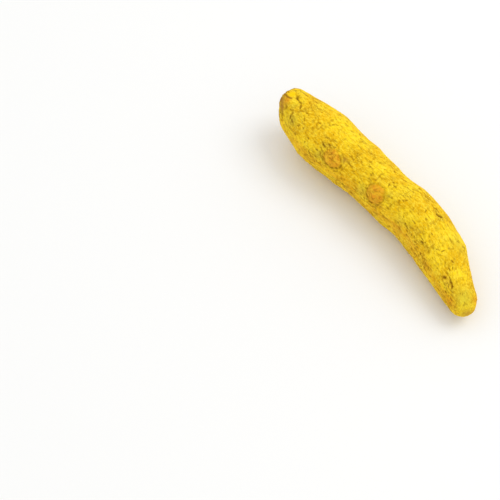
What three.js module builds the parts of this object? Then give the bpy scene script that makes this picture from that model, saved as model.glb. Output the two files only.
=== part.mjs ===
// A dried, polished turmeric finger: one side branch of the rhizome, boiled, dried and tumbled until
// its skin is gone. It grew as one piece, so it is one solid. It lies on its belly along X, with the
// broken end, where it snapped off the mother rhizome, at -X and the growing tip at +X.
// Millimetres, +Z up. The origin is under the middle of its bounding box, on the surface it lies on.

import * as THREE from "three";

// Driving dimensions.
const chord = 72.0; // from the broken end to the growing tip, in a straight line
const fullRadius = 7.6; // at the thickest place, near the broken end
const bow = 6.3; // how far the middle stands to the side of that straight line
const restHeight = 6.5; // from the surface up to the core, where the belly rests

// How finely the skin is divided: rings along the core, and points round each ring.
const ringCount = 76;
const pointsPerRing = 36;

// Places along the core. at is a share of the chord, aside a share of the bow, up a share of the rest
// height and thick a share of the full radius.
const stations = [
  { at: 0.0, aside: 0.0, up: 1.42, thick: 0.63 },
  { at: 0.07, aside: 0.1, up: 1.37, thick: 0.79 },
  { at: 0.14, aside: 0.23, up: 1.28, thick: 0.93 },
  { at: 0.21, aside: 0.38, up: 1.17, thick: 1.0 },
  { at: 0.28, aside: 0.55, up: 1.09, thick: 0.95 },
  { at: 0.35, aside: 0.69, up: 1.03, thick: 0.91 },
  { at: 0.43, aside: 0.8, up: 1.0, thick: 0.87 },
  { at: 0.51, aside: 0.87, up: 1.0, thick: 0.86 },
  { at: 0.6, aside: 1.0, up: 1.0, thick: 0.86 },
  { at: 0.69, aside: 0.96, up: 0.98, thick: 0.84 },
  { at: 0.77, aside: 0.82, up: 0.9, thick: 0.78 },
  { at: 0.83, aside: 0.65, up: 0.82, thick: 0.69 },
  { at: 0.89, aside: 0.44, up: 0.76, thick: 0.56 },
  { at: 0.95, aside: 0.25, up: 0.72, thick: 0.47 },
  { at: 1.0, aside: 0.08, up: 0.7, thick: 0.42 },
];

// How far from each end the skin starts to close over it, and how bluntly (2 is a round end).
const brokenEnd = { reach: 2.4, bluntness: 3.0 };
const growingTip = { reach: 4.6, bluntness: 2.8 };

// The finger snapped off at a slant: the broken face leans over this far from the end.
const breakSlant = { lean: 0.5, side: 62, reach: 13 };

// The nodes: low rings where scale leaves once sat. at is in millimetres along the core from the
// broken end, and each ring leans over the finger like a cuff, furthest on at the side given.
const nodes = [
  { at: 12.5, height: 0.12, lean: 1.2, side: 60 },
  { at: 25.0, height: 0.26, lean: 1.4, side: 40 },
  { at: 33.0, height: 0.14, lean: -1.8, side: 80 },
  { at: 41.0, height: 0.3, lean: 1.6, side: 30 },
  { at: 50.5, height: 0.24, lean: 1.2, side: 20 },
  { at: 57.0, height: 0.26, lean: 0.8, side: 15 },
  { at: 65.0, height: 0.1, lean: 0.8, side: 80 },
];
const nodeWidth = 1.6;

// Single swellings and hollows in the flesh. along is in millimetres from the broken end, side is the
// angle round the finger in degrees (0 is +Y, 90 is up), and a negative height is a hollow.
const swellings = [
  { along: 2.5, side: 70, height: 0.2, wide: 2.4 },
  { along: 20.0, side: 25, height: -0.25, wide: 3.0 },
  { along: 37.0, side: 25, height: -0.2, wide: 3.0 },
  { along: 56.5, side: 15, height: 0.3, wide: 3.0 },
  { along: 72.5, side: 40, height: 0.5, wide: 2.8 },
];

// The finger is never quite round: two slow waves run round each ring and turn along it.
const flattening = { share: 0.035, turn: 15 };
const threeSided = { share: 0.02, turn: -9 };

const core = new THREE.CatmullRomCurve3(
  stations.map((s) => new THREE.Vector3((s.at - 0.5) * chord, s.aside * bow, s.up * restHeight)),
  false,
  "catmullrom",
);
const girth = new THREE.CatmullRomCurve3(
  stations.map((s) => new THREE.Vector3(s.thick * fullRadius, 0, 0)),
  false,
  "catmullrom",
);
const length = core.getLength();

// 0 at the very end, rising to 1 at the end's reach.
function closing(distance, { reach, bluntness }) {
  const left = 1 - Math.min(distance / reach, 1);
  return Math.pow(1 - Math.pow(left, bluntness), 1 / bluntness);
}

// A soft bell: 1 at the middle, close to 0 at twice the width.
function bell(distance, width) {
  return Math.exp(-Math.pow(distance / width, 2));
}

// The cosine of the angle between a point of the ring and a side given in degrees.
function cosineFrom(angle, side) {
  return Math.cos(angle - THREE.MathUtils.degToRad(side));
}

// The skin's distance from the core, as it would be with no closed ends.
function skinRadius(t, along, angle) {
  let radius = girth.getPoint(t).x;
  radius *= 1 + flattening.share * Math.cos(2 * angle + along / flattening.turn);
  radius *= 1 + threeSided.share * Math.cos(3 * angle + along / threeSided.turn);
  for (const node of nodes) {
    const ringPlace = node.at + node.lean * cosineFrom(angle, node.side);
    radius += node.height * bell(along - ringPlace, nodeWidth);
  }
  for (const swelling of swellings) {
    const round = Math.acos(cosineFrom(angle, swelling.side)) * fullRadius;
    radius += swelling.height * bell(along - swelling.along, swelling.wide) * bell(round, swelling.wide);
  }
  return radius;
}

// One point of the skin. The belly is flat where the finger lies on the surface.
function skinPoint(along, angle) {
  const t = core.getUtoTmapping(along / length);
  const forward = core.getTangent(t);
  const side = new THREE.Vector3(0, 0, 1).cross(forward).normalize();
  const above = forward.clone().cross(side);
  const closed = closing(along, brokenEnd) * closing(length - along, growingTip);
  const radius = skinRadius(t, along, angle) * closed;
  const slant = breakSlant.lean * Math.pow(Math.max(1 - along / breakSlant.reach, 0), 1.5);
  const point = core
    .getPoint(t)
    .addScaledVector(side, radius * Math.cos(angle))
    .addScaledVector(above, radius * Math.sin(angle))
    .addScaledVector(forward, -slant * radius * cosineFrom(angle, breakSlant.side));
  point.z = Math.max(point.z, 0);
  return point;
}

// Rings crowd together towards both ends, where the skin curves most.
function ringPlace(share) {
  const crowded = 0.5 - 0.5 * Math.cos(Math.PI * share);
  return THREE.MathUtils.lerp(share, crowded, 0.75) * length;
}

// The closed skin: one point at each end, and rings between them.
function fingerGeometry() {
  const points = [skinPoint(0, 0)];
  for (let ring = 1; ring < ringCount; ring++) {
    for (let i = 0; i < pointsPerRing; i++) {
      points.push(skinPoint(ringPlace(ring / ringCount), (i / pointsPerRing) * 2 * Math.PI));
    }
  }
  points.push(skinPoint(length, 0));

  const triangles = [];
  const at = (ring, i) => 1 + (ring - 1) * pointsPerRing + (i % pointsPerRing);
  const last = points.length - 1;
  for (let i = 0; i < pointsPerRing; i++) {
    triangles.push(0, at(1, i + 1), at(1, i));
    triangles.push(last, at(ringCount - 1, i), at(ringCount - 1, i + 1));
    for (let ring = 1; ring < ringCount - 1; ring++) {
      const [a, b] = [at(ring, i), at(ring, i + 1)];
      const [c, d] = [at(ring + 1, i), at(ring + 1, i + 1)];
      triangles.push(a, b, c, b, d, c);
    }
  }

  const geometry = new THREE.BufferGeometry().setFromPoints(points);
  geometry.setIndex(triangles);
  geometry.computeVertexNormals();
  return geometry;
}

const powderedSkin = new THREE.MeshStandardMaterial({ color: 0xe7bf22, roughness: 0.85, metalness: 0 });

const finger = new THREE.Mesh(fingerGeometry(), powderedSkin);
finger.name = "turmeric_finger";

// The origin goes under the middle of the box.
finger.geometry.computeBoundingBox();
const middle = finger.geometry.boundingBox.getCenter(new THREE.Vector3());
finger.position.set(-middle.x, -middle.y, 0);

const root = new THREE.Group();
root.add(finger);
export default root;
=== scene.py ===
# %% [markdown]
# # A dried turmeric finger
# A turmeric finger is a side branch of the plant's rhizome. For the spice trade it is boiled, dried and
# tumbled in a drum, which rubs its brown skin off and dusts it with its own yellow powder. What is left
# is hard and matt: a bent, tapering stick with faint rings, shrinkage wrinkles, nicks and bud scars.
#
# The design of the finger is fixed: its solid is loaded here and never changed. This lesson lays a fine
# skin over that solid, carves the details into the skin and gives it a powdered finish.

# %% Load the solid
import math
from itertools import product

import bpy
import numpy as np
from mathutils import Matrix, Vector
from mathutils.bvhtree import BVHTree


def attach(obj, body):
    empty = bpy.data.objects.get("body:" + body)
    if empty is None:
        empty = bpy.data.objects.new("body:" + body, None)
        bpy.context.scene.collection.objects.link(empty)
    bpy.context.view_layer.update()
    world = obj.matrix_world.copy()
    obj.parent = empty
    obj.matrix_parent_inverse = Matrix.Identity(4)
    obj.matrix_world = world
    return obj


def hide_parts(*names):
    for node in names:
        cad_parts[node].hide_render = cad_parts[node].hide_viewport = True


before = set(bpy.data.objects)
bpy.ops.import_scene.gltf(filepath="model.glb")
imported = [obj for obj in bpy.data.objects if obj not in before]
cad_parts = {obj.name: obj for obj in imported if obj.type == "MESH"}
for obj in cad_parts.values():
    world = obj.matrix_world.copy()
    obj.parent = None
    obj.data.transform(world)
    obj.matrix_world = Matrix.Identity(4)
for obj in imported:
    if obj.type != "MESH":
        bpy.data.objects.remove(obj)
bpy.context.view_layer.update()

MM = 0.001  # Blender works in metres. The arrays below are in millimetres.
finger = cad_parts["turmeric_finger"]
solid = np.array([v.co for v in finger.data.vertices]) / MM
low, high = solid.min(0), solid.max(0)
size = high - low
print("the solid measures", size.round(1), "mm")

# %% [markdown]
# ## The camera
# The camera comes first, because it decides how fine the detail has to be. It looks down on the finger
# from 55 degrees, with a long lens so that the far end isn't made small. It aims at a place on the floor
# beside the finger, which leaves the finger in the upper right of the view. Distances are in finger
# lengths, so that the view stays the same at any size.

# %% Camera
CAMERA_TURN = math.radians(56)  # round from straight in front, towards the growing tip
CAMERA_RISE = math.radians(55)
CAMERA_AWAY = 4.56  # finger lengths
AIM = (-0.1215, -0.4445, 0)  # finger lengths from the middle of the finger

camera = bpy.data.objects.new("camera", bpy.data.cameras.new("camera"))
bpy.context.scene.collection.objects.link(camera)
bpy.context.scene.camera = camera
camera.data.lens = 100

towards_camera = Vector((
    math.sin(CAMERA_TURN) * math.cos(CAMERA_RISE),
    -math.cos(CAMERA_TURN) * math.cos(CAMERA_RISE),
    math.sin(CAMERA_RISE),
))
camera.location = Vector(AIM) * size[0] * MM + towards_camera * CAMERA_AWAY * size[0] * MM
camera.rotation_euler = towards_camera.to_track_quat("Z", "Y").to_euler()
camera.data.clip_start = 0.01
print("the camera stands", round(camera.location.length / MM), "mm from the finger")

# %% [markdown]
# ## A fine grid over the solid
# The wrinkles are about a quarter of a millimetre wide, far finer than the solid's facets. Subdividing
# the solid would keep its uneven facets, and remeshing it would lose all sense of "along the finger". So
# the skin is a grid, like the lines on a globe: rows of points from the broken end to the growing tip.
# Each point is found by shooting a ray outwards from a line through the flesh until it meets the solid.
#
# First comes that line, the core. It is a smooth curve through the middles of slices of the solid. It
# stops short of both ends, where the rays will fan out like the seeds of a dandelion.

# %% The core line
BROKEN_CAP = 5.0  # from the broken end's face to where the core starts
TIP_CAP = 4.2  # from the core's end to the growing tip
SLICES = 40
SLICE = 1.6  # half the thickness of a slice
BENDS = 6  # the degree of the smooth curve


def slice_middle(x):
    near = solid[np.abs(solid[:, 0] - x) < SLICE]
    return (near.min(0) + near.max(0))[1:] / 2


slices = np.linspace(low[0] + BROKEN_CAP, high[0] - TIP_CAP, SLICES)
middles = np.array([slice_middle(x) for x in slices])
bend = [np.polynomial.Polynomial.fit(slices, middles[:, k], BENDS) for k in (0, 1)]


def core_at(x):
    return np.stack([x, bend[0](x), bend[1](x)], -1)


def core_direction(x):
    slope = np.stack([np.ones_like(x), bend[0].deriv()(x), bend[1].deriv()(x)], -1)
    return slope / np.linalg.norm(slope, axis=-1, keepdims=True)


print("the core bows", round(np.ptp(middles[:, 0]), 1), "mm to the side")

# %% Rows and rays
ROUND = 236  # points round the finger
BODY_ROWS = 332  # rows whose rays run straight across the core
CAP_ROWS = 36  # rows that fan out over each end

# lean is the angle between a row's rays and the plane across the core.
cap_lean = np.radians(np.linspace(90, 0, CAP_ROWS, endpoint=False)[1:])
row_x = np.concatenate([
    np.full(CAP_ROWS - 1, slices[0]),
    np.linspace(slices[0], slices[-1], BODY_ROWS),
    np.full(CAP_ROWS - 1, slices[-1]),
])
row_lean = np.concatenate([-cap_lean, np.zeros(BODY_ROWS), cap_lean[::-1]])

row_core = core_at(row_x)
row_forward = core_direction(row_x)
row_side = np.cross([0, 0, 1], row_forward)
row_side /= np.linalg.norm(row_side, axis=1, keepdims=True)
row_above = np.cross(row_forward, row_side)

side_angle = np.linspace(0, 2 * np.pi, ROUND, endpoint=False)  # 0 is towards +Y, a quarter turn is up
across = (
    np.cos(side_angle)[None, :, None] * row_side[:, None]
    + np.sin(side_angle)[None, :, None] * row_above[:, None]
)
rays = np.cos(row_lean)[:, None, None] * across + np.sin(row_lean)[:, None, None] * row_forward[:, None]
print(len(row_x), "rows of", ROUND, "rays")

# %% Shoot the rays
target = BVHTree.FromPolygons(solid.tolist(), [p.vertices[:] for p in finger.data.polygons])


def distance_to_skin(start, ray):
    return target.ray_cast(Vector(start), Vector(ray))[3]


reach = np.array([[distance_to_skin(start, ray) for ray in row] for start, row in zip(row_core, rays)])
print("the skin lies", reach.min().round(1), "to", reach.max().round(1), "mm from the core")

# %% [markdown]
# The solid's facets would show as flat patches, so the distances are blurred: little at the two ends,
# which have to keep their shape, and more between them. The blur wraps round the finger and stops at
# its ends. Two more arrays are worked out for each point: how far along the finger it lies, and its
# place in a straightened finger, where a grain pattern runs true.

# %% Smooth the facets


def blur(field, spread):
    """Blurs a field over the grid by a number of its points."""
    offsets = np.arange(-3 * spread, 3 * spread + 1)
    weights = np.exp(-((offsets / spread) ** 2) / 2)
    weights /= weights.sum()
    edge = len(offsets) // 2
    tall = np.pad(field, ((edge, edge), (0, 0)), mode="edge")
    down = sum(w * tall[k : k + len(field)] for k, w in enumerate(weights))
    wide = np.pad(down, ((0, 0), (edge, edge)), mode="wrap")
    return sum(w * wide[:, k : k + ROUND] for k, w in enumerate(weights))


def outward(points):
    """The direction straight out of the skin at each point of the grid."""
    lengthwise = np.gradient(points, axis=0)
    crosswise = np.roll(points, -1, 1) - np.roll(points, 1, 1)
    out = np.cross(crosswise, lengthwise)
    return out / np.linalg.norm(out, axis=-1, keepdims=True)


ends_kept, body_smoothed = blur(reach, 2), blur(reach, 6)
from_ends = np.minimum(np.arange(len(row_x)), np.arange(len(row_x))[::-1])[:, None]
in_body = np.clip((from_ends - CAP_ROWS) / (2 * CAP_ROWS), 0, 1)
reach = ends_kept + in_body * (body_smoothed - ends_kept)
smooth_skin = row_core[:, None] + reach[..., None] * rays
core_along = np.concatenate([[0], np.cumsum(np.linalg.norm(np.diff(row_core, axis=0), axis=1))])
along = BROKEN_CAP + core_along[:, None] + reach * np.sin(row_lean)[:, None]
girth = reach * np.cos(row_lean)[:, None]
straight = np.stack([along, girth * np.cos(side_angle), girth * np.sin(side_angle)], -1)
length = along.max()
print("along its core the finger is", round(length, 1), "mm long")

# %% [markdown]
# ## Random flesh
# Nothing on a root is regular, so most of the carving is driven by noise: smooth random values that
# change over a chosen length. Blender has noise of its own, but one point at a time. This one takes the
# whole grid at once. It hangs a random slope on each corner of a lattice and fades from one corner to
# the next. Stretching the places first makes a grain that runs along the finger.

# %% Noise
LATTICE = 32  # corners along each edge of the lattice, which then repeats
SWING = 1.6  # brings the values to between about -1 and 1


def noise(places, seed):
    """Smooth random values between about -1 and 1 that change over a length of 1."""
    slopes = np.random.default_rng(seed).normal(size=(LATTICE, LATTICE, LATTICE, 3))
    slopes /= np.linalg.norm(slopes, axis=-1, keepdims=True)
    cell = np.floor(places).astype(int)
    part = places - cell
    fade = part**3 * (part * (part * 6 - 15) + 10)
    total = 0
    for corner in product((0, 1), repeat=3):
        slope = slopes[tuple(np.moveaxis((cell + corner) % LATTICE, -1, 0))]
        weight = np.where(corner, fade, 1 - fade).prod(-1)
        total = total + weight * (slope * (part - corner)).sum(-1)
    return SWING * total


def flesh_noise(wide, seed, stretch=1.0):
    """Noise on the straightened finger that changes over so many mm across it, and more along it."""
    return noise(straight / [wide * stretch, wide, wide], seed)


def ease(value, start, end):
    """0 up to start, 1 from end on, and a smooth rise between."""
    share = np.clip((value - start) / (end - start), 0, 1)
    return share * share * (3 - 2 * share)


# Every mark is drawn on frayed skin, whose points are pushed a little to random sides, so that no edge
# on the finger is a clean line.
fray = [0.16 * flesh_noise(1.7, k) + 0.1 * flesh_noise(0.7, k + 3) for k in (31, 32, 33)]
frayed_skin = smooth_skin + np.stack(fray, -1)
print("points frayed by up to", np.abs(fray).max().round(2), "mm")

# %% [markdown]
# ## Places on the skin
# Every scar and crack has a place, given as millimetres along the finger and an angle round it: 0 is the
# outside of the bend, 90 the top, 180 the inside of the bend. `around` lays a small flat sheet on the
# skin at such a place and says where each point of the grid lies on it. `stroke` draws a line through
# several places with a soft round brush.

# %% Places and strokes
TAPER = 0.35  # the share of a stroke over which each of its ends thins out

facing = outward(smooth_skin)
row_along = along.mean(1)


def grid_place(place_along, side):
    row = int(np.interp(place_along, row_along, np.arange(len(row_along))))
    return row, round(side / 360 * ROUND) % ROUND


def distance_from(place_along, side):
    gap = frayed_skin - smooth_skin[grid_place(place_along, side)]
    return np.sqrt((gap**2).sum(-1))


def blot(place_along, side, wide):
    """A soft round spot: 1 at the place, fading to 0 about two widths away."""
    return np.exp(-((distance_from(place_along, side) / wide) ** 2))


def stroke(places, wide):
    """A brush line through places on the skin: 1 on the line, fading to 0 about two widths away."""
    places = np.array(places, float)
    steps = np.linspace(0, len(places) - 1, 10 * len(places))
    line = np.zeros_like(along)
    for step in steps:
        share = step / (len(places) - 1)
        fullness = min(1, min(share, 1 - share) / TAPER + 0.3)
        here = [np.interp(step, np.arange(len(places)), places[:, k]) for k in (0, 1)]
        line = np.maximum(line, fullness * blot(*here, wide * fullness))
    return line


def around(place_along, side):
    """Millimetres from a place along the finger, and round it."""
    place = grid_place(place_along, side)
    out = facing[place]
    forward = row_forward[place[0]] - out * (row_forward[place[0]] @ out)
    forward /= np.linalg.norm(forward)
    gap = frayed_skin - smooth_skin[place]
    x, y = gap @ forward, gap @ np.cross(out, forward)
    true_length = np.linalg.norm(gap, axis=-1) / np.maximum(np.hypot(x, y), 1e-6)
    return x * true_length, y * true_length


print("40 mm along, on top, is row and column", grid_place(40, 90))

# %% [markdown]
# ## What the carving leaves behind
# Carving changes the height of the skin. It also changes the colour, because powder never fills the
# grooves. So each kind of mark is collected in an array of its own, from 0 to 1, and these go with the
# mesh for the finish to use. The relief, worked out with the mesh, is used for painted highlight and
# painted shade.

# %% Heights and marks
MARKS = ("groove", "crackled", "olive", "rust_and_shade", "orange_and_shade", "lime", "bright")
height = np.zeros_like(along)
marks = {name: np.zeros_like(along) for name in MARKS}


def mark(name, amount):
    """Adds to a mark, where the amount is more than what is already there."""
    marks[name] = np.maximum(marks[name], np.clip(amount, 0, 1))


def calm(where, share):
    """Takes back some of the carving and of the grooves in a region."""
    height[:] *= 1 - share * where
    marks["groove"] *= 1 - share * where


print("the carving leaves", len(MARKS), "marks")

# %% [markdown]
# ## Shrinkage
# As the finger dries its flesh shrinks unevenly. That gives slow lumps and hollows, then lengthwise
# wrinkles where the fibres pull together. The lumps that give the ends and the bend their shape are
# listed one by one, and the rest is noise, each kind at its own scale. A wrinkle follows the line where a
# stretched noise passes through zero, which makes long thin valleys that wander.

# %% Lumps
LUMPS = [  # mm along, degrees round, mm wide, mm high
    (1, 75, 1.8, -0.2),
    (4.5, 155, 3.0, -0.5),
    (1, 125, 1.4, 0.2),
    (49, 50, 4.0, 0.25),
    (72.5, 160, 2.2, -0.25),
    (73.2, 20, 1.8, -0.2),
    (75, 70, 2.0, 0.25),
]
for place_along, side, wide, high_up in LUMPS:
    height += high_up * blot(place_along, side, wide)
height += 0.12 * flesh_noise(6.5, 3, 1.3) + 0.1 * flesh_noise(2.8, 4, 1.5) + 0.05 * flesh_noise(1.1, 9, 1.6)
print("lumps and hollows, mm:", height.min().round(2), "to", height.max().round(2))

# %% Wrinkles
# Wrinkles and nicks run along the flanks and fade out where the skin closes over the ends.
flank = 1 - ease(np.abs((facing * row_forward[:, None]).sum(-1)), 0.35, 0.75)


def valleys(wide, seed, stretch, thin):
    return np.exp(-((flesh_noise(wide, seed, stretch) / thin) ** 2))


wrinkled = ease(flesh_noise(5, 5, 1.4), -0.3, 0.5) * flank
long_wrinkles = valleys(1.5, 6, 3.5, 0.14) * wrinkled * ease(flesh_noise(1.6, 10, 2), -0.2, 0.2)
short_wrinkles = valleys(1.0, 7, 2.0, 0.2) * flank * ease(flesh_noise(1.0, 8, 1.5), 0, 0.35)
height -= 0.1 * long_wrinkles + 0.08 * short_wrinkles
mark("groove", 0.35 * long_wrinkles + 0.3 * short_wrinkles)
print("wrinkles cover", round(100 * np.mean(long_wrinkles + short_wrinkles > 0.5), 1), "% of the grid")

# %% [markdown]
# The nodes are where scale leaves once sat. On a fresh root each is a papery cuff. On a polished one
# only a low ring is left, and here and there round it a fine broken crease.

# %% Node creases
NODES = (14.5, 26.6, 34.5, 42.4, 51.8, 58.6)  # mm along the finger
NODE_LEAN = 1.2  # mm by which one side of a node stands further on than the rest
CREASE_WIDE = 0.16
RING_WIDE = 0.7
RING_BEHIND = 0.6  # mm from the crease back to the top of the ring

for seed, node in enumerate(NODES):
    sway = NODE_LEAN * np.cos(side_angle - 0.8) + 0.5 * flesh_noise(2.5, 40 + seed)
    past = along - node - sway
    crease = np.exp(-((past / CREASE_WIDE) ** 2)) * ease(flesh_noise(2.2, 50 + seed), 0, 0.4)
    height -= 0.1 * crease
    mark("groove", 0.4 * crease)
    ring = np.exp(-(((past + RING_BEHIND) / RING_WIDE) ** 2)) * ease(flesh_noise(3, 60 + seed), -0.4, 0.4)
    height += 0.06 * ring
print(len(NODES), "nodes")

# %% [markdown]
# ## Nicks
# Tumbling leaves a great many short nicks, mostly along the fibres, each with one lip raised. They are
# cut one at a time, each in a small window of the grid, so that all of them take only a second or two.
# They crowd in patches, and thin out towards the upper outer side of the finger.

# %% Nicks
NICKS = 3400  # tries, of which only those in the crowded patches of the flanks are cut
WINDOW = 12  # grid points from a nick's middle to each edge of its window
LIP_AWAY = 2.2  # half widths from the slit to its lip
FULL_DEPTH = 0.16  # mm from which a nick turns fully dark

picks = np.random.default_rng(11)
upper_outer_side = np.cos(side_angle - math.radians(65))
crowded = ease(flesh_noise(5, 12, 1.2) + 0.4 * flesh_noise(1.8, 13) - 0.4 * upper_outer_side, -0.6, 0.5)
patchy = 0.2 + 0.8 * crowded
mark("crackled", patchy)


def cut_nick(row, column, half_length, half_width, depth, angle):
    rows = np.arange(max(row - WINDOW, 0), min(row + WINDOW, len(row_x)))
    block = np.ix_(rows, np.arange(column - WINDOW, column + WINDOW) % ROUND)
    gap = frayed_skin[block] - smooth_skin[row, column]
    forward = row_forward[row]
    sideways = np.cross(forward, facing[row, column])
    x = gap @ forward * math.cos(angle) + gap @ sideways * math.sin(angle)
    y = gap @ sideways * math.cos(angle) - gap @ forward * math.sin(angle)
    ends = np.exp(-((x / half_length) ** 4))
    slit = ends * np.exp(-((y / half_width) ** 2))
    lip = ends * np.exp(-((y / half_width - LIP_AWAY) ** 2))
    height[block] += depth * (0.35 * lip - slit)
    marks["groove"][block] = np.maximum(marks["groove"][block], slit * min(1, depth / FULL_DEPTH))


nicks_cut = 0
for attempt in range(NICKS):
    row, column = picks.integers(4, len(row_x) - 4), picks.integers(ROUND)
    half_length, half_width = picks.uniform(0.1, 0.5), picks.uniform(0.09, 0.17)
    depth, angle = 0.18 * picks.random() ** 3 + 0.03, picks.normal(0, 0.6)
    if picks.random() < patchy[row, column] * flank[row, column]:
        cut_nick(row, column, half_length, half_width, depth, angle)
        nicks_cut += 1
print(nicks_cut, "nicks, and the skin's lowest point is", round(-height.min(), 2), "mm down")

# %% [markdown]
# ## Bud scars
# Two round scars sit where side buds broke away, and a small puckered one lies near the tip. Each is a
# low disc of harder, more orange flesh with shallow folds in it and a moat round it, which is deeper on
# one side and has a second, broken line outside it there. They could be modelled as buttons and stuck
# on, but a seam would show. So they are carved on a sheet laid around their places.

# %% Bud scars


def bud_scar(place_along, side, half_long, half_wide, lift, orange, deepest):
    """Carves a scar, whose moat is deepest so many degrees round from the way to the tip."""
    x, y = around(place_along, side)
    ring = np.hypot(x / half_long, y / half_wide) + 0.18 * flesh_noise(1.6, 22)
    direction = np.arctan2(y, x)
    disc = 1 - ease(ring, 0.65, 1.08)
    stain = 1 - ease(ring, 0.85, 1.1)
    leaning = 0.5 + 0.5 * np.cos(direction - math.radians(deepest))
    ragged = ease(flesh_noise(0.9, 23), -0.5, 0.2)
    moat = np.exp(-(((ring - 1.08) / 0.11) ** 2)) * (0.1 + 0.9 * leaning) * ragged
    outer = np.exp(-(((ring - 1.36) / 0.08) ** 2)) * leaning * ease(flesh_noise(0.9, 24), -0.2, 0.3)
    folds = valleys(1.1, 21, 1, 0.16) * disc * min(1, lift / 0.5)
    calm(disc, 0.6)
    height[:] += lift * disc * (1 - 0.35 * ring**2)
    height[:] -= 0.3 * moat + 0.15 * outer + 0.1 * folds
    mark("orange_and_shade", orange * stain * (0.85 + 0.35 * flesh_noise(0.9, 25)))
    mark("groove", 0.9 * moat + 0.6 * outer + 0.45 * folds)


bud_scar(22.7, 141, 2.5, 2.0, 0.6, 1.0, -40)
bud_scar(37.2, 140, 2.3, 2.4, 0.7, 1.0, -115)
bud_scar(67.4, 132, 2.2, 0.8, 0.1, 0.3, 90)
print("the bud scars stand", height.max().round(2), "mm proud")

# %% [markdown]
# ## Cracks and creases
# The larger cracks are drawn one at a time, as a carver would cut them. Each is a list of places, how
# wide and deep it is, and how dark it has turned. A negative depth raises a ridge. Noise then breaks
# the lines up, because dried flesh never splits in one clean stroke.

# %% Larger cracks
CRACKS = [  # places (mm along, degrees round), mm wide, mm deep, how dark
    # by the broken end
    ([(2, 85), (3, 95), (5, 100), (7, 115)], 0.28, 0.42, 1.0),
    ([(2.5, 90), (4, 95)], 0.4, 0.25, 0.8),
    ([(2, 75), (5, 90), (6.5, 100)], 0.3, -0.35, 0),
    ([(3, 120), (5, 125), (7, 135)], 0.25, 0.22, 0.7),
    ([(6, 80), (8.5, 90)], 0.22, 0.16, 0.5),
    ([(3.5, 125), (5.5, 130), (7, 150)], 0.25, 0.3, 0.6),
    ([(7, 135), (7.5, 140), (8.5, 140)], 0.25, 0.25, 0.8),
    ([(9.5, 115), (11, 125)], 0.2, 0.18, 0.6),
    ([(11.5, 130), (13, 135)], 0.2, 0.16, 0.6),
    ([(13.5, 120), (14.5, 120)], 0.18, 0.14, 0.6),
    # the wrinkled place beside the first scar, and the scar's own outline and strand
    ([(17.5, 120), (18.5, 115), (20, 115)], 0.2, 0.22, 0.8),
    ([(17.5, 125), (19, 130), (20, 130)], 0.22, 0.25, 0.9),
    ([(19, 125), (20.5, 120)], 0.2, 0.2, 0.8),
    ([(18, 145), (19.5, 145)], 0.22, 0.2, 0.8),
    ([(20.5, 145), (22, 157), (24, 157)], 0.22, 0.2, 0.7),
    ([(22.7, 137), (23.2, 137)], 0.3, 0.15, 0.6),
    # between the scars
    ([(26.5, 125), (28.5, 130)], 0.2, 0.22, 0.7),
    ([(25.5, 85), (26.5, 85)], 0.2, 0.16, 0.7),
    ([(31, 105), (32.5, 100)], 0.2, 0.2, 0.7),
    ([(33, 115), (33.5, 115)], 0.3, 0.28, 0.9),
    # skin drawn aside by the second scar
    ([(32, 145), (34, 155), (37, 170)], 0.22, 0.18, 0.5),
    ([(32, 160), (36, 170)], 0.22, 0.16, 0.5),
    ([(40, 125), (43, 125)], 0.2, 0.2, 0.7),
    ([(40.5, 135), (43.5, 135)], 0.2, 0.18, 0.5),
    # hatched strokes on the inside of the bend
    ([(45.5, 155), (47.5, 155)], 0.2, 0.2, 0.7),
    ([(47, 140), (49, 145)], 0.2, 0.2, 0.8),
    ([(49, 135), (51, 140)], 0.2, 0.2, 0.8),
    ([(49, 125), (51, 125)], 0.18, 0.16, 0.5),
    ([(47, 165), (49, 165)], 0.2, 0.18, 0.6),
    ([(50, 150), (51.5, 155)], 0.2, 0.18, 0.6),
    # the crease along the top of the bend
    ([(48.5, 70), (51, 65)], 0.22, 0.26, 0.8),
    ([(51.5, 75), (53, 65)], 0.34, 0.35, 1.0),
    ([(51, 70), (52.5, 75)], 0.25, 0.2, 0.8),
    # towards the tip
    ([(54.5, 140), (56.5, 140)], 0.3, 0.3, 1.0),
    ([(55, 115), (55.5, 120)], 0.2, 0.16, 0.6),
    ([(58.5, 80), (59.5, 75)], 0.2, 0.16, 0.6),
    ([(58, 60), (59, 55)], 0.2, 0.16, 0.6),
    ([(60, 50), (60, 35)], 0.22, 0.2, 0.6),
    ([(58, 135), (59, 140)], 0.22, 0.18, 0.6),
    ([(62, 150), (63.5, 135)], 0.2, 0.16, 0.5),
    # round the small scar by the tip
    ([(65.5, 137), (66.2, 131)], 0.34, 0.4, 1.0),
    ([(66.2, 127), (68, 122), (69.8, 130)], 0.22, 0.3, 1.0),
    ([(67, 137), (68, 131), (69, 137)], 0.18, 0.2, 0.8),
    ([(65.5, 143), (68.8, 143)], 0.2, 0.2, 0.7),
    ([(66, 120), (66.5, 95)], 0.16, 0.1, 0.4),
]
broken_up = 0.3 + 0.7 * ease(flesh_noise(0.8, 71), -0.3, 0.3)
for places, wide, depth, darkness in CRACKS:
    line = stroke(places, wide) * broken_up
    height -= depth * line
    mark("groove", 1.2 * darkness * line)
print(len(CRACKS), "cracks and creases")

# %% [markdown]
# ## The two ends
# The broken end tore off slantwise: its face is rough and browned, and the brown is partly painted
# shade, as the face is turned from the lamp. A clean bright nub is left at the top, with a chip beside
# it. The growing tip is rounded, and a dried scale leaves a thin line over it.

# %% Broken face
backwards = -(facing * row_forward[:, None]).sum(-1)
face = ease(backwards + 0.25 * flesh_noise(1.2, 61), 0.55, 0.8) * (along < 0.2 * length)
height += face * (0.16 * flesh_noise(1.0, 62) + 0.08 * flesh_noise(0.5, 63))
# the face's brown is partly rust and partly painted shade
mark("rust_and_shade", 0.85 * face)
mark("groove", 0.6 * face * ease(flesh_noise(0.9, 64), 0, 0.5))
print("the broken face covers", round(100 * face.mean(), 1), "% of the grid")

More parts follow.
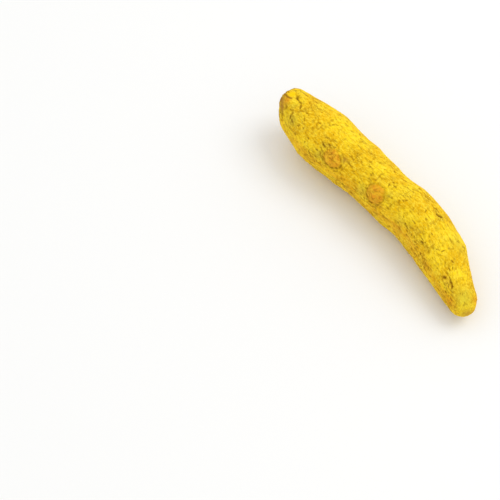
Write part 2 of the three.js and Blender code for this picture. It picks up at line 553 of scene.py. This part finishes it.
# %% Nub, chip and tip scale
nub = blot(2.0, 97, 0.95)
calm(nub, 0.9)
height += 0.2 * nub
mark("bright", ease(nub, 0.25, 0.6))
under_nub = stroke([(0.8, 116), (2.0, 114), (3.0, 107)], 0.3)
height -= 0.2 * under_nub
mark("rust_and_shade", under_nub)
mark("groove", 0.5 * under_nub)

chip = blot(4.4, 113, 1.0)
calm(chip, 0.8)
height -= 0.2 * chip
mark("lime", 0.5 * chip)

calm(blot(72.8, 95, 2.2), 0.6)
tip_scale = stroke([(74.2, 84), (73.8, 100), (74.2, 118)], 0.2)
height -= 0.1 * tip_scale
mark("groove", 0.4 * tip_scale)
print("the nub stands", height[nub > 0.5].max().round(2), "mm proud")

# %% [markdown]
# ## Stains
# Damp and the plant's own juices stain the powder in places. A stain could be a painted image, but a few
# soft spots and streaks do the same and can be read and moved. They change the colour only. The inside
# of the bend, where the powder is rubbed thin, gets a faint orange band. The band and the three streaks
# along the middle of that flank are also partly painted shade, on the side turned from the lamp.

# %% Stains
STAINS = [  # mm along, degrees round, mm wide, name, share
    (2.5, 120, 0.7, "orange_and_shade", 1.0),
    (3, 130, 0.7, "rust_and_shade", 0.6),
    (7.5, 140, 1.5, "olive", 0.9),
    (19.5, 150, 1.3, "olive", 0.7),
    (19, 130, 0.9, "olive", 0.6),
    (25.5, 125, 0.8, "rust_and_shade", 0.7),
    (33.5, 155, 1.3, "lime", 0.8),
    (40.5, 125, 0.6, "olive", 0.8),
    (47, 155, 1.6, "olive", 0.4),
    (50, 140, 1.4, "olive", 0.4),
    (52.5, 70, 0.8, "olive", 0.9),
    (59, 60, 2.6, "lime", 0.5),
    (67.5, 135, 0.9, "lime", 0.7),
    (72.5, 95, 2.6, "lime", 0.85),
    (73, 40, 1.1, "orange_and_shade", 0.8),
    (71.5, 165, 1.4, "orange_and_shade", 0.8),
    (75, 140, 1.2, "rust_and_shade", 0.7),
    (74.5, 330, 1.3, "rust_and_shade", 0.5),
]
for place_along, side, wide, name, share in STAINS:
    mark(name, share * blot(place_along, side, wide))
print(len(STAINS), "stains")

# %% Bands and streaks
BAND_SIDE, BAND_WIDE = math.radians(172), math.radians(20)
STREAKS = [  # places (mm along, degrees round), mm wide, name, share
    ([(0.5, 115), (1.5, 130), (2.5, 140), (4, 155)], 0.9, "rust_and_shade", 1.0),
    ([(66, 160), (69, 158), (72, 160), (74, 158)], 0.6, "orange_and_shade", 0.6),
    # these three streaks, along the inside flank, are orange and partly painted shade
    ([(8, 172), (12, 168), (17, 166), (22, 165)], 0.5, "orange_and_shade", 0.5),
    ([(20, 172), (27, 168), (34, 172)], 0.5, "orange_and_shade", 0.6),
    ([(42, 165), (46, 168), (52, 163), (58, 165)], 0.7, "orange_and_shade", 0.6),
]
# the band is orange where the powder is rubbed thin and partly painted shade on the side turned from the
# lamp
orange_and_shade_band = np.exp(-(((side_angle - BAND_SIDE) / BAND_WIDE) ** 2)) * ease(flesh_noise(2.0, 81, 4), -0.5, 0.4)
mark("orange_and_shade", 0.5 * orange_and_shade_band)
for places, wide, name, share in STREAKS:
    mark(name, share * stroke(places, wide))
print(len(STREAKS), "streaks")

# %% [markdown]
# ## The skin as a mesh
# The grid becomes quads, with a fan of triangles at each end. One more mark is worked out first, the
# relief, which says how far a point stands above or below its neighbours. The finish uses it for a
# painted highlight on raised points and painted shade in hollows. The mesh also gets a map: the finger
# unrolled like a label, with the seam along its belly, so that the finish can be painted on it without
# islands.

# %% Build the mesh
FULL_RELIEF = 0.1  # mm above or below the neighbours at which the relief reaches 1 or -1

carved = smooth_skin + height[..., None] * facing
# relief drives a painted highlight on raised points and painted shade in hollows
marks["relief"] = np.clip((height - blur(height, 3)) / FULL_RELIEF, -1, 1)
carved[..., 2] = np.maximum(carved[..., 2], 0)  # nothing reaches below the floor
rows = len(row_x)


def end_point(row):
    return carved[row].mean(0)


vertices = np.concatenate([carved.reshape(-1, 3), [end_point(0), end_point(-1)]]) * MM
index = np.arange(rows * ROUND).reshape(rows, ROUND)
beside = np.roll(index, -1, 1)
quads = np.stack([index[:-1], beside[:-1], beside[1:], index[1:]], -1).reshape(-1, 4)
broken_pole, tip_pole = rows * ROUND, rows * ROUND + 1
faces = quads.tolist()
faces += [[broken_pole, b, a] for a, b in zip(index[0], beside[0])]
faces += [[tip_pole, a, b] for a, b in zip(index[-1], beside[-1])]

mesh = bpy.data.meshes.new("turmeric_skin")
mesh.from_pydata(vertices.tolist(), [], faces)
mesh.shade_smooth()
print(len(vertices), "points,", sum(len(f) - 2 for f in faces), "triangles, height range",
      height.min().round(2), height.max().round(2))

# %% Attributes


def with_ends(field):
    """The field's value at each of the mesh's points, the two end points last."""
    flat = field.reshape(rows * ROUND, -1)
    return np.concatenate([flat, [flat[:ROUND].mean(0), flat[-ROUND:].mean(0)]])


for name, field in marks.items():
    mesh.attributes.new(name, "FLOAT", "POINT").data.foreach_set("value", with_ends(field).ravel())
grain = mesh.attributes.new("grain", "FLOAT_VECTOR", "POINT")
grain.data.foreach_set("vector", with_ends(straight).ravel())
print(len(mesh.attributes), "attributes")

# %% The map
MARGIN = 0.01  # the share of the map left free on each side

seam = round(0.75 * ROUND)  # the column under the belly
label = mesh.uv_layers.new(name="OFBake")
corners = np.zeros(len(mesh.loops), int)
mesh.loops.foreach_get("vertex_index", corners)
row_of, column_of = np.divmod(corners, ROUND)
column_of = (column_of - seam) % ROUND
starts = np.array([p.loop_start for p in mesh.polygons])
counts = np.array([p.loop_total for p in mesh.polygons])
polygon_of = np.repeat(np.arange(len(starts)), counts)
for pole, pole_row in ((broken_pole, -1), (tip_pole, rows)):
    at_pole = corners == pole
    row_of[at_pole] = pole_row
    own = np.isin(polygon_of, polygon_of[at_pole]) & ~at_pole
    column_of[at_pole] = column_of[own].reshape(-1, 2).min(1)

# Where a quad closes the seam, its far corners belong at the map's right edge and not at its left.
last_column = np.maximum.reduceat(column_of, starts)[polygon_of]
column_of = np.where((last_column == ROUND - 1) & (column_of == 0), ROUND, column_of)
unrolled = np.stack([column_of / ROUND, (row_of + 1) / (rows + 1)], -1)
label.uv.foreach_set("vector", (MARGIN + (1 - 2 * MARGIN) * unrolled).astype(np.float32).ravel())
print("the map is", ROUND, "columns by", rows + 1, "rows")

# %% Put the skin in the solid's place
skin_piece = bpy.data.objects.new("powdered_skin", mesh)
bpy.context.scene.collection.objects.link(skin_piece)
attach(skin_piece, "root")
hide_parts("turmeric_finger")
print(skin_piece.name, "takes the solid's place")

# %% [markdown]
# ## Shader sums as Python sums
# A finish is a tree of nodes. Written node by node it takes pages, and nobody can read the sums in it.
# `Wire` wraps an output socket, and its operators add the Math nodes, so `1 - groove * 0.5` is the sum
# and its nodes at once. Every other node comes from `node`: its settings first, then its sockets.

# %% Wires and recipes


class Wire:
    """An output in a material's node tree that Python's operators work on."""

    def __init__(self, recipe, socket):
        self.recipe = recipe
        self.socket = socket

    def sum(self, operation, left, right):
        return self.recipe.node("Math", {"operation": operation}, {0: left, 1: right})

    def __add__(self, other):
        return self.sum("ADD", self, other)

    def __sub__(self, other):
        return self.sum("SUBTRACT", self, other)

    def __rsub__(self, other):
        return self.sum("SUBTRACT", other, self)

    def __mul__(self, other):
        return self.sum("MULTIPLY", self, other)

    def __abs__(self):
        return self.recipe.node("Math", {"operation": "ABSOLUTE"}, {0: self})

    __radd__ = __add__
    __rmul__ = __mul__


class Recipe:
    """A material that is being put together."""

    def __init__(self, name):
        self.material = bpy.data.materials.new(name)
        self.material.use_nodes = True
        self.tree = self.material.node_tree
        self.surface = self.tree.nodes["Principled BSDF"]

    def node(self, kind, settings, sockets, output=0):
        made = self.tree.nodes.new("ShaderNode" + kind)
        for name, value in settings.items():
            setattr(made, name, value)
        self.plug(made, sockets)
        return Wire(self, made.outputs[output])

    def plug(self, node, sockets):
        for name, value in sockets.items():
            if isinstance(value, Wire):
                self.tree.links.new(value.socket, node.inputs[name])
            else:
                node.inputs[name].default_value = value

    def attribute(self, name, output="Fac"):
        return self.node("Attribute", {"attribute_name": name}, {}, output)

    def mix(self, under, over, share):
        """over laid on under: share 0 shows under, 1 shows over."""
        return self.node("Mix", {"data_type": "RGBA"}, {0: share, 6: under, 7: over}, 2)

    def between(self, value, start, end):
        """0 up to start, 1 from end on, and a smooth rise between."""
        return self.node("MapRange", {"interpolation_type": "SMOOTHSTEP"},
                         {"Value": value, "From Min": start, "From Max": end})

    def noise(self, places, scale, detail=2.0, roughness=0.5):
        return self.node("TexNoise", {}, {
            "Vector": places, "Scale": scale, "Detail": detail, "Roughness": roughness,
        })

    def stretched(self, places, factors):
        return self.node("VectorMath", {"operation": "MULTIPLY"}, {0: places, 1: factors})


def screen_colour(red, green, blue):
    """A colour as it looks on a screen, 0 to 255 a channel, turned into the light it stands for."""
    shares = [c / 255 for c in (red, green, blue)]
    return [s / 12.92 if s <= 0.04045 else ((s + 0.055) / 1.055) ** 2.4 for s in shares] + [1.0]


# %% [markdown]
# ## The powdered finish
# The powder is golden yellow, but not one yellow. It is paler where it lies thick, more orange where it
# is rubbed into the flesh, and missing in the grooves, which show brown. The carving's marks say where.
# Some colours stand for light: a painted highlight on raised points and on the lips of slits, and
# painted shade in hollows and, in part, in the orange band along the inside flank.
# Finer speckle and grain come from noise in the material, and the same noise lifts the surface a little,
# because powder is a crust of tiny grains and not paint. It has almost no gloss. It could be one yellow
# with one noise over it, but that looks like sponge: each kind of spot has a colour, a size and a share
# of its own.

# %% Patterns in the powder
powder = Recipe("turmeric_powder")
grain_place = powder.attribute("grain", "Vector")
fibres = powder.stretched(grain_place, (0.3, 1, 1))

drift = powder.noise(grain_place, 0.2, 2)
clouds = powder.noise(grain_place, 0.55, 3, 0.6)
mottle = powder.noise(powder.stretched(grain_place, (0.6, 1, 1)), 1.6, 2, 0.6)
speckle = powder.noise(fibres, 2.6, 2, 0.6)
flecks = powder.noise(powder.stretched(grain_place, (1.1, 2, 2)), 1.5, 2, 0.6)
print(len(powder.tree.nodes), "nodes so far")

# %% Crackle


def crackle(scale, shift):
    """Short dark slits where noise passes through its middle value, and a painted highlight beside each."""
    moved = powder.node("VectorMath", {"operation": "ADD"}, {0: fibres, 1: (shift, shift, shift)})
    level = powder.noise(moved, scale, 2, 0.55)
    broken = powder.between(powder.noise(moved, 0.8 * scale, 2), 0.46, 0.56)
    slit = (1 - powder.between(abs(level - 0.5), 0.01, 0.06)) * broken
    # lip is a painted highlight along one side of the slit, colour only and not raised
    lip = powder.between(level, 0.54, 0.58) * (1 - powder.between(level, 0.6, 0.65)) * broken
    return slit, lip


slits, lip_highlights = crackle(1.3, 0)
fine_slits, fine_lip_highlights = crackle(2.1, 40)
crackled = powder.attribute("crackled")
relief_highlight_and_shade = powder.attribute("relief")
print(len(powder.tree.nodes), "nodes so far")

# %% Powdered skin
colour = powder.mix(
    screen_colour(232, 180, 2), screen_colour(250, 212, 28), powder.between(drift, 0.38, 0.6))
COATS = [  # each colour is laid over those before it, with a share that changes over the skin
    ((220, 170, 2), powder.between(clouds, 0.5, 0.68) * 0.5),
    ((250, 218, 60), powder.between(1 - clouds, 0.52, 0.7) * 0.45),
    ((206, 160, 4), powder.between(mottle, 0.5, 0.66) * 0.32),
    ((255, 222, 50), powder.between(1 - mottle, 0.52, 0.66) * 0.35),
    ((194, 150, 6), powder.between(speckle, 0.5, 0.64) * 0.55),
    ((255, 228, 66), powder.between(flecks, 0.5, 0.62) * 0.5),
    ((168, 152, 48), powder.attribute("olive") * 0.65),
    ((212, 200, 56), powder.attribute("lime") * 0.75),
    ((156, 104, 44), powder.attribute("rust_and_shade") * 0.85),
    # painted highlight on the lips beside the slits
    ((255, 230, 70), (lip_highlights + fine_lip_highlights) * crackled * 0.45),
    # painted highlight on raised points and painted shade in hollows, from the relief
    ((255, 226, 60), powder.between(relief_highlight_and_shade, 0.1, 1.0) * 0.35),
    ((176, 128, 4), powder.between(-1 * relief_highlight_and_shade, 0.1, 1.0) * 0.4),
    ((255, 206, 4), powder.attribute("bright") * 0.95),
    ((226, 146, 30), powder.attribute("orange_and_shade") * (0.6 + powder.between(1 - mottle, 0.4, 0.6) * 0.3)),
    ((162, 112, 2), slits * crackled * 0.55),
    ((162, 112, 2), fine_slits * crackled * 0.6),
    ((122, 80, 2), powder.attribute("groove") * 0.85),
]
for shown, share in COATS:
    colour = powder.mix(colour, screen_colour(*shown), share)

relief = 0.06 * mottle + 0.08 * speckle - 0.06 * slits * crackled - 0.04 * fine_slits * crackled
bumps = powder.node("Bump", {}, {"Strength": 1.0, "Distance": MM, "Height": relief})
powder.plug(powder.surface, {
    "Base Color": colour,
    "Roughness": 0.78 + 0.15 * mottle,
    "Specular IOR Level": 0.12,
    "Normal": bumps,
})
mesh.materials.append(powder.material)
print(len(powder.tree.nodes), "nodes in the finish")

# %% [markdown]
# ## Floor and light
# A pale floor, and soft light as in a light tent: an even glow from all round, one large lamp high on
# the right and a little beyond the finger for form, and nothing hard. The floor is nearly white, so it
# throws light back up under the finger.

# %% Floor
FLOOR_REACH = 40  # finger lengths from the middle to each edge

floor_mesh = bpy.data.meshes.new("floor")
edge = FLOOR_REACH * size[0] * MM
floor_mesh.from_pydata(
    [(-edge, -edge, 0), (edge, -edge, 0), (edge, edge, 0), (-edge, edge, 0)], [], [(0, 1, 2, 3)])
floor = bpy.data.objects.new("floor", floor_mesh)
bpy.context.scene.collection.objects.link(floor)
paper = Recipe("white_paper")
paper.plug(paper.surface, {
    "Base Color": (0.86, 0.86, 0.85, 1),
    "Roughness": 0.9,
    "Specular IOR Level": 0.1,
})
floor_mesh.materials.append(paper.material)
print("the floor is", round(2 * edge, 1), "m wide")

# %% Light
world = bpy.data.worlds.new("light_tent")
world.use_nodes = True
glow = world.node_tree.nodes["Background"]
glow.inputs["Color"].default_value = (1, 1, 1, 1)
glow.inputs["Strength"].default_value = 0.96
bpy.context.scene.world = world
bpy.context.scene.view_settings.view_transform = "Standard"


def soft_lamp(name, place, width, power):
    """A square lamp, so many metres wide and watts strong, at a place in finger lengths."""
    lamp = bpy.data.lights.new(name, "AREA")
    lamp.size = width
    lamp.energy = power
    holder = bpy.data.objects.new(name, lamp)
    bpy.context.scene.collection.objects.link(holder)
    holder.location = Vector(place) * size[0] * MM
    holder.rotation_euler = holder.location.to_track_quat("Z", "Y").to_euler()
    print(name, "stands", round(holder.location.length, 2), "m away")


soft_lamp("high_lamp", (2, 6, 9), 0.5, 1.95)
